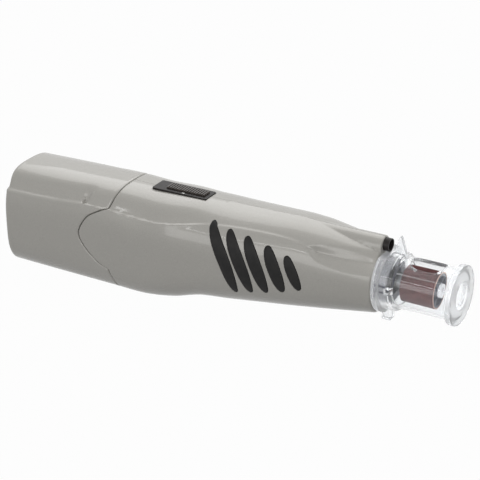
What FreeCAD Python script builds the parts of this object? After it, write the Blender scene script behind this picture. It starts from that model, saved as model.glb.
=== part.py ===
import FreeCAD, Part
import math
import os

V = FreeCAD.Vector
ALONG = V(1, 0, 0)
UP = V(0, 0, 1)
LEFT = V(0, 1, 0)

# A cordless pet nail grinder, in millimetres. The tool lies along X with its clear guard
# towards +X, and rests on its flat underside at z = 0. Every x below is measured from a datum
# just inside the rear end; each finished piece is moved back before it is saved, so that the
# origin is under the middle of the tool.
rear_end, front_end = -1.5, 182.2
spindle_height = 25.0
nose_end = 152.8
seam_x = 49.2
wall = 2.0
cap_wall = 1.8
seam_gap = 0.3

# Body sections: place, half width, top, underside, and the two corner powers. A power of 2
# is an ellipse, and a higher one is squarer.
body_sections = [
    (0.4, 17.5, 40.0, -0.25, 3.1, 3.15),
    (24, 17.1, 40.5, -0.25, 3.15, 3.7),
    (46, 17.25, 40.8, -0.25, 3.1, 4.0),
    (60, 17.6, 40.6, -0.1, 2.75, 4.15),
    (72, 18.1, 40.8, 1.5, 2.75, 3.65),
    (84, 17.7, 41.0, 4.7, 2.6, 3.3),
    (96, 17.45, 40.9, 5.2, 2.6, 2.65),
    (110, 16.6, 41.15, 7.0, 2.55, 2.6),
    (123, 15.6, 41.25, 8.65, 2.5, 2.55),
    (137, 14.0, 39.8, 10.45, 2.25, 2.45),
    (152.8, 11.95, 37.1, 12.7, 2.1, 2.4),
]
section_points = 24
rear_widest, nose_widest = 17.0, 25.0

# Rear cap, and the seam where the housing meets it: a straight-sided line down from the top,
# the side tab that reaches back over the cap, and a straight-sided line down to the underside
cap_edge_radius = 1.2
seam_above = [(48.3, 46), (48.0, 40.5), (47.7, 39.2), (46.8, 36.7)]
tab_outline = [(45.7, 34.2), (42.1, 32.8), (36.7, 29.7), (33.2, 23.5), (35.1, 18.3), (40.7, 12.7), (46, 9.9)]
seam_below = [(46.7, 7.8), (47.6, 5.7), (48.4, 3.7), (49.1, -2)]
spigot_length = 6.5

# Battery tray: four AA cells, two by two
cell_radius, cell_length, cell_step = 7.1, 49.2, 7.5
nub_radius, nub_length = 2.75, 1.3
tray_middle = 18.4
tray_plate = 1.2
web = 0.7
contact_thickness = 0.3
spring_length = 3.0
tray_rear = 5.7
tray_front = tray_rear + 2 * (tray_plate + contact_thickness) + cell_length + nub_length + spring_length

# Switch on top
bezel_rear, bezel_front = 58.5, 81.9
bezel_half_width = 3.8
bezel_under, bezel_top = 38.4, 41.25
pad_rear, pad_front = 63.8, 80.3
pad_half_width = 2.0
pad_under, pad_top = 41.35, 41.95
pad_ribs = 16
stem_half_length, stem_half_width = 2.0, 1.0
switch_travel = 4.0
carriage_under, carriage_top = 36.9, 38.0
switch_x = 70.5

# Circuit board
board_rear, board_front = 65.0, 86.5
board_half_width = 8.0
board_under, board_top = 31.5, 32.7
lead_radius = 0.7

# Motor and its mounting ribs
motor_rear, motor_front = 93.0, 122.0
motor_radius, can_wall = 12.0, 0.8
end_cap_rear, end_cap_boss_rear = 89.5, 88.0
shaft_rear, shaft_front, shaft_radius = 88.5, 130.0, 1.15
seat_radius, seat_front = 4.0, 124.0
magnet_rear, magnet_front, magnet_bore = 96.0, 119.0, 9.4
pole_rear, pole_front, pole_radius = 99.0, 116.0, 9.0
terminal_rear, terminal_front, terminal_top, terminal_offset = 84.6, 92.5, 27.0, 6.5
rib_places = (96.0, 117.0)
rib_thickness = 2.0

# Nose and drive
nose_wall = 3.0
boss_rear, boss_front, boss_radius = 144.5, 157.0, 8.5
boss_seat_radius, boss_recess_radius = 9.6, 5.2
bush_front, bush_radius = 150.0, 4.0
coupling_rear, coupling_front, coupling_radius = 126.0, 136.0, 3.5
spindle_rear, spindle_front, spindle_radius = 130.1, 158.0, 2.0
nut_rear, nut_front, nut_radius = 152.0, 161.2, 3.2
nut_flutes = 12
mandrel_radius, mandrel_bore = 1.6, 1.2
core_radius, band_radius = 6.3, 6.75
drum_rear, drum_front = 161.7, 174.4
drum_rim, drum_recess, drum_hub_radius = 1.0, 2.2, 2.9
drum_ribs, drum_rib_thickness = 4, 1.0
clamp_head_radius, clamp_head_height, socket_radius = 2.5, 1.2, 1.3

# Lamp in the ridge over the nose
ridge_radius, ridge_start = 4.0, 116.0
ridge_height = 37.0
lamp_height = 38.0
lamp_radius = 1.5
lamp_rear, lamp_front = 147.4, 151.6
holder_rear, holder_front = 149.0, 155.0
holder_radius, holder_mouth_radius = 2.4, 2.05

# Clear guard
guard_rear = 153.0
guard_bore = 8.6
flange_radius, flange_front = 12.2, 155.2
collar_radius, collar_front = 10.6, 160.0
tube_radius, tube_bore = 9.4, 8.2
disc_rear, disc_radius = 180.0, 10.9
nail_hole_radius = 5.0
fin_outline = [(156.2, 34.0), (161.4, 34.0), (158.7, 42.3)]
fin_thickness = 1.6
lug_front, lug_half_width, lug_under, lug_top = 156.4, 2.0, 9.4, 16.0
flange_flat_height = 35.1
port_rear, port_front, port_radius = 167.4, 171.6, 4.4
latch_rear, latch_front, latch_half_height = 157.2, 159.4, 1.1

# Leaf-shaped grips on each side: top and bottom of each as (x, z), width, and bow to the front
grip_leaves = [
    ((90.0, 37.7), (101.6, 13.5), 4.9, 1.15),
    ((97.6, 36.6), (107.8, 14.9), 4.9, 0.6),
    ((105.1, 35.7), (113.9, 16.2), 4.95, 0.35),
    ((113.6, 34.1), (120.4, 18.0), 5.0, 0.15),
    ((121.4, 32.1), (126.8, 20.0), 4.1, 0.0),
]
grip_proud, grip_depth = 0.35, 1.0
grip_gap = 0.12

# Screws that hold the two halves together, driven from the left
screw_places = [(68.0, 9.5), (80.0, 20.0), (131.0, 15.0), (131.0, 32.2)]
screw_radius, screw_head_radius = 1.2, 2.2
screw_boss_radius = 3.5


def box(x0, x1, y0, y1, z0, z1):
    """Box between the given limits."""
    return Part.makeBox(x1 - x0, y1 - y0, z1 - z0, V(x0, y0, z0))


def rod(radius, x0, x1, z=spindle_height, y=0.0):
    """Round bar along X."""
    return Part.makeCylinder(radius, x1 - x0, V(x0, y, z), ALONG)


def tube(outer, bore, x0, x1, z=spindle_height, y=0.0):
    """Round tube along X."""
    return rod(outer, x0, x1, z, y).cut(rod(bore, x0 - 1, x1 + 1, z, y))


def prism_across(points, y0, y1):
    """Closed smooth outline of (x, z) points, carried across from y0 to y1."""
    curve = Part.BSplineCurve()
    curve.interpolate([V(x, y0, z) for x, z in points], PeriodicFlag=True)
    face = Part.Face(Part.Wire(curve.toShape()))
    return face.extrude(V(0, y1 - y0, 0))


def section_at(x):
    """Section sizes at x, blended smoothly between the named stations."""
    last = len(body_sections) - 1
    index = 0
    while index < last - 1 and x > body_sections[index + 1][0]:
        index += 1
    before, after = body_sections[index], body_sections[index + 1]
    span = after[0] - before[0]
    t = (x - before[0]) / span
    sizes = []
    for column in range(1, len(before)):
        slopes = []
        for place in (index, index + 1):
            low, high = body_sections[max(place - 1, 0)], body_sections[min(place + 1, last)]
            slopes.append((high[column] - low[column]) / (high[0] - low[0]) * span)
        rise = after[column] - before[column]
        bend = (slopes[0] - rise) * (1 - t) + (rise - slopes[1]) * t
        sizes.append(before[column] + rise * t + t * (1 - t) * bend)
    return sizes


def section_ring(x, inset):
    """Points up the left half of the body section at x, drawn in by inset."""
    half_width, top, under, upper_power, lower_power = section_at(max(x, body_sections[0][0]))
    widest = rear_widest + (nose_widest - rear_widest) * x / nose_end
    points = []
    for step in range(section_points + 1):
        angle = math.pi * step / section_points - math.pi / 2
        c, s = max(math.cos(angle), 0.0), math.sin(angle)
        rise = (top - widest if s >= 0 else widest - under) - inset
        power = upper_power if s >= 0 else lower_power
        width = half_width - inset
        reach = (abs(c / width) ** power + abs(s / rise) ** power) ** (-1 / power)
        z = widest + reach * s
        points.append(V(x, reach * c, z))
    return points


def skin_solid(rings):
    """Closed solid with a smooth skin through the half rings and their mirror images."""
    faces = []
    end_edges = ([], [])
    for side in (1, -1):
        surface = Part.BSplineSurface()
        surface.interpolate([[V(p.x, side * p.y, p.z) for p in ring] for ring in rings])
        faces.append(surface.toShape())
        for edges, place in zip(end_edges, surface.bounds()[:2]):
            edges.append(surface.uIso(place).toShape())
    for edges in end_edges:
        faces.append(Part.Face(Part.Wire(Part.__sortEdges__(edges))))
    shell = Part.makeShell(faces)
    shell.sewShape()
    return Part.Solid(shell)


def body_form(inset):
    """Outer form of the tool's body, from the cap's edge round to the nose end."""
    first = body_sections[0][0]
    steps = 30
    places = [first + (nose_end - first) * step / steps for step in range(steps + 1)]
    return skin_solid([section_ring(x, inset) for x in places])


def cap_form():
    """Outer form of the rear cap, whose rear edge is rounded by sections that draw in."""
    radius = cap_edge_radius
    rings = []
    steps = 8
    for step in range(steps):
        angle = math.pi / 2 * step / steps
        place = rear_end + radius * (1 - math.cos(angle))
        rings.append(section_ring(place, radius * (1 - math.sin(angle))))
    start = rear_end + radius
    places = [start + (seam_x + 6 - start) * (step / 16) ** 2 for step in range(17)]
    return skin_solid(rings + [section_ring(x, 0) for x in places])


def on_rest_plane(form):
    """A form with its underside made flat at z = 0."""
    return form.cut(box(rear_end - 5, nose_end, -40, 40, -5, 0))


def slice_between(form, x0, x1):
    """Part of a form between two stations."""
    return form.common(box(x0, x1, -40, 40, -20, 60))


def front_of_seam(gap):
    """Everything ahead of the seam with its side tabs, grown by gap towards the cap."""
    middle = 22.0
    grown = []
    for x, z in tab_outline:
        grown.append(V(x - gap, -30, z + gap * (z - middle) / 12.0))
    curve = Part.BSplineCurve()
    curve.interpolate(grown)
    above = [V(x - gap, -30, z) for x, z in seam_above]
    below = [V(x - gap, -30, z) for x, z in seam_below]
    ahead = [V(60, -30, below[-1].z), V(60, -30, above[0].z)]
    corners = [grown[-1], *below, *ahead, *above, grown[0]]
    edges = [Part.makeLine(a, b) for a, b in zip(corners, corners[1:])]
    return Part.Face(Part.Wire([curve.toShape(), *edges])).extrude(V(0, 60, 0))


def leaf_points(top, bottom, width, bow, grow):
    """Leaf outline between two ends, bowed towards the front."""
    run, drop = bottom[0] - top[0], bottom[1] - top[1]
    length = math.hypot(run, drop)
    along = (run / length, drop / length)
    across = (-along[1], along[0])
    points = []
    count = 28
    for step in range(count):
        angle = 2 * math.pi * (step + 0.5) / count
        t = 0.5 - 0.5 * math.cos(angle)
        side = math.copysign(abs(math.sin(angle)) ** 0.8, math.sin(angle))
        half = side * (width / 2 + grow) + bow * math.sin(math.pi * t)
        reach = t * (length + 2 * grow) - grow
        points.append((
            top[0] + reach * along[0] + half * across[0],
            top[1] + reach * along[1] + half * across[1],
        ))
    return points


def inner_framework(cavity):
    """Ribs, rails, screw posts and the spigot inside the housing."""
    spigot = slice_between(body_form(cap_wall + 0.15), seam_x - spigot_length, seam_x + 3)
    cells = [rod(cell_radius + 0.15, 30, 60, z, y) for y, z, _ in cell_places()]
    tabs = slice_between(front_of_seam(0.2), 30, tab_outline[0][0])
    pieces = [spigot.cut([body_form(cap_wall + 1.1), tabs, battery_tray(), *cells])]
    frame = slice_between(cavity, tray_front + 0.1, tray_front + 1.4)
    pieces.append(frame.cut(body_form(wall + 3)))
    for x in rib_places:
        rib = slice_between(cavity, x, x + rib_thickness)
        pieces.append(rib.cut(rod(motor_radius + 0.05, x - 1, x + rib_thickness + 1)))
    rail = box(board_rear, board_front, 7.4, 20, board_under - 1.6, board_under - 0.05)
    pieces.append(rail.common(cavity))
    pieces.append(rail.mirror(V(0, 0, 0), LEFT).common(cavity))
    for x, z in screw_places:
        post = Part.makeCylinder(screw_boss_radius, 60, V(x, -30, z), LEFT)
        pieces.append(post.common(cavity))
    return pieces


def grip_pockets(grip_floor):
    """Shallow pockets for the grips on both sides."""
    pockets = []
    for side in (-1, 1):
        for leaf in grip_leaves:
            leaf = prism_across(leaf_points(*leaf, grip_gap), side * 2, side * 30)
            pockets.append(leaf.cut(grip_floor))
    return pockets


def housing(outer, cavity, grip_floor):
    """Both housing halves as one, before they are parted down the middle."""
    shell = outer.fuse(rod(ridge_radius, ridge_start, nose_end, ridge_height)).cut(cavity)
    front = slice_between(shell, seam_x, nose_end)
    tabs = slice_between(shell, 30, seam_x).common(front_of_seam(0))
    body = front.fuse([tabs, *inner_framework(cavity)])
    bezel_window = box(bezel_rear - 0.1, bezel_front + 0.1, -bezel_half_width - 0.1,
                       bezel_half_width + 0.1, bezel_under - 3, 60)
    boss_hole = rod(boss_radius + 0.1, nose_end - 8, nose_end + 1)
    lamp_bore = rod(lamp_radius + 0.6, nose_end - 28, nose_end + 1, lamp_height)
    lamp_bore = lamp_bore.fuse(rod(holder_radius + 0.05, holder_rear - 0.1, nose_end + 1, lamp_height))
    return body.cut([*screw_holes(), bezel_window, boss_hole, lamp_bore, *grip_pockets(grip_floor)])


def screw_holes():
    """Clearance holes, head recesses and pilot holes of the housing screws."""
    holes = []
    for x, z in screw_places:
        holes.append(Part.makeCylinder(screw_radius + 0.05, 16.2, V(x, -10.2, z), LEFT))
        holes.append(Part.makeCylinder(screw_head_radius + 0.3, 30, V(x, 6, z), LEFT))
    return holes


def screws():
    """Housing screws: shank, round head and cross recess, as separate solids."""
    made = []
    for x, z in screw_places:
        shank = Part.makeCylinder(screw_radius, 16, V(x, -10, z), LEFT)
        head = Part.makeCylinder(screw_head_radius, 1.8, V(x, 6, z), LEFT)
        slot = box(x - 1.3, x + 1.3, 7.0, 9.0, z - 0.3, z + 0.3)
        cross = slot.fuse(box(x - 0.3, x + 0.3, 7.0, 9.0, z - 1.3, z + 1.3))
        made.append(shank.fuse(head).cut(cross))
    return Part.makeCompound(made)


def battery_cap():
    """Rear cap with a rounded rear edge and notches for the side tabs."""
    form = slice_between(on_rest_plane(cap_form()), rear_end - 1, seam_x - seam_gap)
    return largest_solid(form.cut(body_form(cap_wall)).cut(front_of_seam(seam_gap)))


def largest_solid(shape):
    """The biggest solid of a shape."""
    return max(shape.Solids, key=lambda solid: solid.Volume)


def battery_tray():
    """Tray that holds the cells: end plates and a T-edged cross web."""
    rear = slice_between(body_form(cap_wall + 0.6), tray_rear, tray_rear + tray_plate)
    rear = rear.common(box(0, 20, -40, 40, 3, 34.6))
    front = slice_between(body_form(wall + 0.05), tray_front - tray_plate, tray_front)
    front = front.common(box(0, 80, -40, 40, 0, 36.5))
    upright = box(tray_rear + 1, tray_front - 1, -web / 2, web / 2, 3.6, 33.6)
    across = box(tray_rear + 1, tray_front - 1, -14.4, 14.4, tray_middle - web / 2, tray_middle + web / 2)
    tray = rear.fuse([front, upright, across])
    for side in (-1, 1):
        rail = box(tray_rear + 1, tray_front - 1, 13.7, 15.0, tray_middle - 2, tray_middle + 2)
        if side < 0:
            rail = rail.mirror(V(0, 0, 0), LEFT)
        tray = tray.fuse(rail)
    tray = tray.cut(contacts(tray_rear + tray_plate))
    return tray.cut(contacts(tray_front - tray_plate - contact_thickness))


def cell_places():
    """Centre of each cell and whether its positive end faces forward."""
    places = []
    for index, (side, level) in enumerate(((-1, 1), (-1, -1), (1, -1), (1, 1))):
        places.append((side * cell_step, tray_middle + level * cell_step, index % 2 == 0))
    return places


def battery_cell(y, z, faces_forward):
    """One AA cell with its positive nub."""
    inside_rear = tray_rear + tray_plate + contact_thickness
    inside_front = tray_front - tray_plate - contact_thickness
    if faces_forward:
        start = inside_front - nub_length - cell_length
        return rod(cell_radius, start, start + cell_length, z, y).fuse(
            rod(nub_radius, start + cell_length - 0.5, inside_front, z, y))
    start = inside_rear + nub_length
    return rod(cell_radius, start, start + cell_length, z, y).fuse(
        rod(nub_radius, inside_rear, start + 0.5, z, y))


def contacts(x0):
    """Sheet contacts on an end plate, one for each pair of cells."""
    made = []
    for side in (-1, 1):
        made.append(box(x0, x0 + contact_thickness, side * cell_step - 4.5, side * cell_step + 4.5,
                        tray_middle - 12.5, tray_middle + 12.5))
    return Part.makeCompound(made)


def contact_springs():
    """Springs at the negative end of each cell: coils of wire joined by its rise."""
    made = []
    coils, coil_radius, wire_radius = 3, 3.2, 0.35
    for y, z, faces_forward in cell_places():
        rear = tray_rear + tray_plate + contact_thickness
        front = tray_front - tray_plate - contact_thickness
        start = (rear if faces_forward else front - spring_length) + wire_radius + 0.05
        pitch = (spring_length - 2 * wire_radius - 0.1) / (coils - 1)
        rings = []
        for index in range(coils):
            centre = V(start + pitch * index, y, z)
            rings.append(Part.makeTorus(coil_radius, wire_radius, centre, ALONG))
        rise = rod(wire_radius * 0.8, start, start + pitch * (coils - 1), z + coil_radius, y)
        made.append(rings[0].fuse([*rings[1:], rise]))
    return Part.makeCompound(made)


def switch_bezel():
    """Black plate under the thumb slider, with the slot for its stem."""
    plate = box(bezel_rear, bezel_front, -bezel_half_width, bezel_half_width, bezel_under, bezel_top)
    upright = [e for e in plate.Edges if abs(e.BoundBox.ZLength - (bezel_top - bezel_under)) < 0.01]
    plate = plate.makeFillet(0.6, upright)
    half = stem_half_width + 0.2
    slot = box(switch_x - stem_half_length - 0.2 - switch_travel, switch_x + stem_half_length + 0.2,
               -half, half, bezel_under - 1, bezel_top + 1)
    return plate.cut(slot)


def switch_slider():
    """Ribbed thumb pad with its stem."""
    middle = (pad_under + pad_top) / 2
    pad = box(pad_rear, pad_front, -pad_half_width, pad_half_width, pad_under, middle)
    pitch = (pad_front - pad_rear) / pad_ribs
    ribs = []
    for index in range(pad_ribs):
        x = pad_rear + pitch * (index + 0.25)
        ribs.append(box(x, x + pitch / 2, -pad_half_width, pad_half_width, middle - 0.1, pad_top))
    stem = box(switch_x - stem_half_length, switch_x + stem_half_length, -stem_half_width,
               stem_half_width, carriage_top, middle - 0.1)
    return pad.fuse([*ribs, stem])


def switch_carriage():
    """Plate under the bezel that carries the slide switch's lever."""
    plate = box(switch_x - 6, switch_x + 6, -3, 3, carriage_under, carriage_top)
    return plate.cut(box(switch_x - 1.1, switch_x + 1.1, -1.1, 1.1, 30, 50))


def switch_lever():
    """Lever of the slide switch, held in the carriage."""
    return box(switch_x - 1.0, switch_x + 1.0, -1.0, 1.0, 36.0, carriage_top - 0.1)


def slide_switch():
    """Slide switch on the board, with the slot its lever runs in."""
    case = box(switch_x - 8, switch_x + 4, -3.2, 3.2, board_top, 36.5)
    slot = box(switch_x - 1.3 - switch_travel, switch_x + 1.3, -1.3, 1.3, 35.0, 40)
    return case.cut(slot)


def circuit_board():
    """Board with two mounting notches."""
    board = box(board_rear, board_front, -board_half_width, board_half_width, board_under, board_top)
    for side in (-1, 1):
        board = board.cut(Part.makeCylinder(1.0, 5, V(board_rear + 3, side * board_half_width, 30)))
    return board


def board_parts():
    """Components that stand on the board."""
    resistor = rod(1.0, 77.5, 83.5, board_top + 1.0, 5.2)
    transistor = box(78, 82, -6.8, -3.8, board_top, board_top + 3.2)
    capacitor = Part.makeCylinder(1.8, 3.2, V(85, 0, board_top), UP)
    return Part.makeCompound([resistor, transistor, capacitor])


def wire_run(points):
    """Insulated wire along straight runs with rounded corners."""
    parts = []
    for a, b in zip(points, points[1:]):
        start, end = V(*a), V(*b)
        parts.append(Part.makeCylinder(lead_radius, start.distanceToPoint(end), start, end - start))
    for corner in points[1:-1]:
        parts.append(Part.makeSphere(lead_radius, V(*corner)))
    return parts[0].fuse(parts[1:])


def battery_leads():
    """Two wires from the tray's front contacts to the board."""
    made = []
    level, turn = 24.0, board_rear + 0.5
    for side in (-1, 1):
        y = side * 5.5
        corners = [(tray_front + 0.1, y, level), (turn, y, level), (turn, y, board_under - 0.05)]
        made.append(wire_run(corners))
    return Part.makeCompound(made)


def motor_leads():
    """Two wires from the board down to the motor's terminals."""
    made = []
    length = board_under - terminal_top - 0.15
    for side in (-1, 1):
        foot = V(terminal_rear + 1, side * terminal_offset, terminal_top + 0.1)
        made.append(Part.makeCylinder(lead_radius, length, foot, UP))
    return Part.makeCompound(made)


def motor_can():
    """Steel can, open at the rear, with a bearing seat in front."""
    seat = rod(seat_radius, motor_front - 0.5, seat_front)
    can = rod(motor_radius, motor_rear, motor_front).fuse(seat)
    can = can.cut(rod(motor_radius - can_wall, motor_rear - 1, motor_front - can_wall))
    return can.cut(rod(seat_radius - 1, motor_front - 3, seat_front + 1))


def motor_end_cap():
    """Plastic rear end of the motor, with its bearing boss."""
    cap = rod(motor_radius - 0.2, end_cap_rear, motor_rear - 0.02)
    cap = cap.fuse(rod(3.6, end_cap_boss_rear, end_cap_rear + 0.5))
    cap = cap.cut(rod(shaft_radius + 0.05, end_cap_boss_rear - 1, motor_rear + 1))
    slots = []
    for side in (-1, 1):
        y = side * terminal_offset
        slots.append(box(80, 100, y - 1.1, y + 1.1, spindle_height - 0.3, spindle_height + 0.3))
    return cap.cut(slots)


def motor_terminals():
    """Two tags through the end cap, each turned up where its wire joins."""
    made = []
    for side in (-1, 1):
        y = side * terminal_offset
        tag = box(terminal_rear, terminal_front, y - 1, y + 1, spindle_height - 0.25, spindle_height + 0.25)
        upturn = box(terminal_rear, terminal_rear + 2, y - 1, y + 1, spindle_height, terminal_top)
        made.append(tag.fuse(upturn))
    return Part.makeCompound(made)


def motor_magnets():
    """Two curved magnets inside the can."""
    ring = tube(motor_radius - can_wall - 0.02, magnet_bore, magnet_rear, magnet_front)
    return ring.cut(box(magnet_rear - 1, magnet_front + 1, -3, 3, 0, 50))


def motor_rotor():
    """Three-pole armature and commutator pressed on the shaft."""
    poles = rod(pole_radius / 2, pole_rear, pole_front)
    level = spindle_height + pole_radius / 2 - 0.5
    for index in range(3):
        tooth = box(pole_rear, pole_front, -1.6, 1.6, level, spindle_height + pole_radius - 0.4)
        shoe = tube(pole_radius, pole_radius - 1.4, pole_rear, pole_front)
        shoe = shoe.common(box(pole_rear, pole_front, -6, 6, level, 36))
        poles = poles.fuse(turned(tooth.fuse(shoe), 120 * index))
    commutator = rod(2.4, pole_rear - 5, pole_rear)
    return poles.fuse(commutator).cut(rod(shaft_radius, shaft_rear, shaft_front))


def turned(shape, angle):
    """Shape turned about the spindle axis."""
    copy = shape.copy()
    copy.rotate(V(0, 0, spindle_height), ALONG, angle)
    return copy


def shaft_coupling():
    """Sleeve that joins the motor's shaft to the spindle."""
    rear = tube(coupling_radius, shaft_radius, coupling_rear, shaft_front)
    return rear.fuse(tube(coupling_radius, spindle_radius, shaft_front, coupling_front))


def nose_boss():
    """Dark collar that carries the front bush and the guard."""
    seat = rod(boss_seat_radius, boss_rear, nose_end - nose_wall - 0.1)
    collar = seat.fuse(rod(boss_radius, boss_rear + 2.5, boss_front))
    collar = collar.cut(rod(bush_radius, boss_rear - 1, bush_front))
    return collar.cut(rod(boss_recess_radius, bush_front, boss_front + 1))


def collet_nut():
    """Nut that grips the mandrel, with grip flutes round it."""
    nut = tube(nut_radius, mandrel_radius, nut_rear, nut_front)
    nut = nut.cut(rod(spindle_radius, nut_rear - 1, spindle_front))
    flute_floor = spindle_height + nut_radius - 0.35
    flute = box(nut_rear + 2, nut_front - 1.2, -0.3, 0.3, flute_floor, flute_floor + 2)
    for index in range(nut_flutes):
        nut = nut.cut(turned(flute, 360 / nut_flutes * index))
    return nut


def drum_core():
    """Rubber drum with a ribbed, recessed front."""
    core = tube(core_radius, mandrel_radius, drum_rear + 0.2, drum_front)
    hollow = tube(core_radius - drum_rim, drum_hub_radius, drum_front - drum_recess, drum_front + 1)
    half = drum_rib_thickness / 2
    rib = box(drum_rear, drum_front + 2, -half, half, spindle_height, spindle_height + core_radius + 2)
    for index in range(drum_ribs):
        hollow = hollow.cut(turned(rib, 360 / drum_ribs * (index + 0.5)))
    return core.cut(hollow)


def drum_screw():
    """Screw that clamps the drum, with a hexagon socket in its head."""
    head = rod(clamp_head_radius, drum_front + 0.02, drum_front + clamp_head_height)
    corners = []
    for index in range(7):
        angle = math.radians(60 * index)
        corners.append(V(drum_front + 0.5, socket_radius * math.cos(angle),
                         spindle_height + socket_radius * math.sin(angle)))
    socket = Part.Face(Part.makePolygon(corners)).extrude(V(2, 0, 0))
    return head.fuse(rod(mandrel_bore, drum_front - 4, drum_front + 0.1)).cut(socket)


def mandrel():
    """Shank that carries the drum."""
    return rod(mandrel_radius, spindle_front + 0.05, drum_front).cut(
        rod(mandrel_bore, drum_front - 4.05, drum_front + 1))


def nail_guard():
    """Clear guard: flange, collar, tube and front disc with the nail openings."""
    guard = rod(flange_radius, guard_rear, flange_front)
    guard = guard.fuse([
        rod(collar_radius, guard_rear, collar_front),
        rod(tube_radius, collar_front - 1, disc_rear + 1),
        rod(disc_radius, disc_rear, front_end),
    ])
    fin = Part.makePolygon([V(x, -fin_thickness / 2, z) for x, z in fin_outline + fin_outline[:1]])
    guard = guard.fuse(Part.Face(fin).extrude(V(0, fin_thickness, 0)))
    guard = guard.fuse(box(guard_rear, lug_front, -lug_half_width, lug_half_width, lug_under, lug_top))
    guard = guard.cut(box(guard_rear - 1, flange_front + 0.5, -10, 10, flange_flat_height, 40))
    guard = guard.cut(rod(guard_bore, guard_rear - 1, collar_front - 2))
    guard = guard.cut(rod(tube_bore, guard_rear - 1, disc_rear))
    guard = guard.cut(rod(nail_hole_radius, disc_rear - 1, front_end + 1))
    floor = spindle_height + 1
    port = box(port_rear, port_front, -port_radius, port_radius, floor, floor + 20)
    for x in (port_rear, port_front):
        port = port.fuse(Part.makeCylinder(port_radius, 20, V(x, 0, floor), UP))
    latch = box(latch_rear, latch_front, -15, 15, spindle_height - latch_half_height,
                spindle_height + latch_half_height)
    return guard.cut([port, latch])


def lamp():
    """Small round lamp with its flange."""
    dome = Part.makeSphere(lamp_radius, V(lamp_front, 0, lamp_height))
    body = rod(lamp_radius, lamp_rear + 1, lamp_front, lamp_height)
    return body.fuse([dome, rod(lamp_radius + 0.45, lamp_rear, lamp_rear + 1, lamp_height)])


def lamp_holder():
    """Black hood that holds the lamp and stands out of the end of the ridge."""
    hood = tube(holder_radius, lamp_radius + 0.05, holder_rear, holder_front, lamp_height)
    return hood.cut(rod(holder_mouth_radius, lamp_front, holder_front + 1, lamp_height))


def lamp_leads():
    """Two lead wires of the lamp."""
    rear = nose_end - 24.8
    return Part.makeCompound([rod(0.25, rear, lamp_rear, lamp_height, side * 0.8) for side in (-1, 1)])


def build():
    """All nodes of the tool."""
    outer = on_rest_plane(body_form(0))
    cavity = slice_between(body_form(wall), 20, nose_end - nose_wall)
    grip_skin = body_form(-grip_proud)
    grip_floor = body_form(grip_depth)
    whole = housing(outer, cavity, grip_floor)
    nodes = {
        "right_housing": largest_solid(whole.common(box(-10, 200, -40, 0, -20, 60))),
        "left_housing": largest_solid(whole.common(box(-10, 200, 0, 40, -20, 60))),
        "battery_cap": battery_cap(),
        "battery_tray": battery_tray(),
        "rear_contacts": contacts(tray_rear + tray_plate),
        "front_contacts": contacts(tray_front - tray_plate - contact_thickness),
        "contact_springs": contact_springs(),
        "housing_screws": screws(),
        "switch_bezel": switch_bezel(),
        "switch_slider": switch_slider(),
        "switch_carriage": switch_carriage(),
        "switch_lever": switch_lever(),
        "slide_switch": slide_switch(),
        "circuit_board": circuit_board(),
        "board_parts": board_parts(),
        "battery_leads": battery_leads(),
        "motor_leads": motor_leads(),
        "motor_can": motor_can(),
        "motor_end_cap": motor_end_cap(),
        "motor_terminals": motor_terminals(),
        "motor_magnets": motor_magnets(),
        "motor_bush": tube(seat_radius - 1.02, shaft_radius + 0.04, motor_front - 1, seat_front),
        "motor_rotor": motor_rotor(),
        "motor_shaft": rod(shaft_radius, shaft_rear, shaft_front),
        "shaft_coupling": shaft_coupling(),
        "spindle": rod(spindle_radius, spindle_rear, spindle_front),
        "nose_boss": nose_boss(),
        "front_bush": tube(bush_radius - 0.02, spindle_radius + 0.04, boss_rear, bush_front),
        "collet_nut": collet_nut(),
        "mandrel": mandrel(),
        "drum_core": drum_core(),
        "sanding_band": tube(band_radius, core_radius + 0.02, drum_rear, drum_front + 0.1),
        "drum_screw": drum_screw(),
        "nail_guard": nail_guard(),
        "lamp": lamp(),
        "lamp_holder": lamp_holder(),
        "lamp_leads": lamp_leads(),
    }
    for index, (y, z, faces_forward) in enumerate(cell_places(), 1):
        nodes[f"battery_{index}"] = battery_cell(y, z, faces_forward)
    for name, side in (("right", -1), ("left", 1)):
        for index, leaf in enumerate(grip_leaves, 1):
            leaf = prism_across(leaf_points(*leaf, 0), 0, side * 30)
            nodes[f"{name}_grip_{index}"] = leaf.common(grip_skin).cut(grip_floor)
    return nodes


os.makedirs("parts", exist_ok=True)
for node, shape in build().items():
    placed = shape.translated(V(-(rear_end + front_end) / 2, 0, 0))
    placed.exportStep(f"parts/{node}.step")
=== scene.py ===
import math

import bmesh
import bpy
from mathutils import Matrix, Vector


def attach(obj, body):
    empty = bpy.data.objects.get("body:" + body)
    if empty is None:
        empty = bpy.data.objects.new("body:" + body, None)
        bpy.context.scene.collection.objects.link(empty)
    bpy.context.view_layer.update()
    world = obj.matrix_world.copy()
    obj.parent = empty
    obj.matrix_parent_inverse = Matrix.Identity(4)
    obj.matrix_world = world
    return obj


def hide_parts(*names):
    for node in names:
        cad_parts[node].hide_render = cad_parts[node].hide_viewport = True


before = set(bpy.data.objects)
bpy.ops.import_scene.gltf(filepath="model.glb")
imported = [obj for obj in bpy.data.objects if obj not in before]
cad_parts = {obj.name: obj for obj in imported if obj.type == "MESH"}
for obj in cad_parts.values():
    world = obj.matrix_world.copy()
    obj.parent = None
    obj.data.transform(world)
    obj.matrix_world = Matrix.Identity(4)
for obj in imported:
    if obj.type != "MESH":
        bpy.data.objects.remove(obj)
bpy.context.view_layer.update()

# Sizes are in millimetres, and places along the tool run from a datum just inside its rear
# end, as the tool is built. Everything is turned into the frame's metres by place().
MM = 0.001
REAR_END, FRONT_END = -1.5, 182.2
MIDDLE = (REAR_END + FRONT_END) / 2
AXIS = 25.0           # height of the spindle, the guard and the drum
NOSE_END = 152.8
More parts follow.
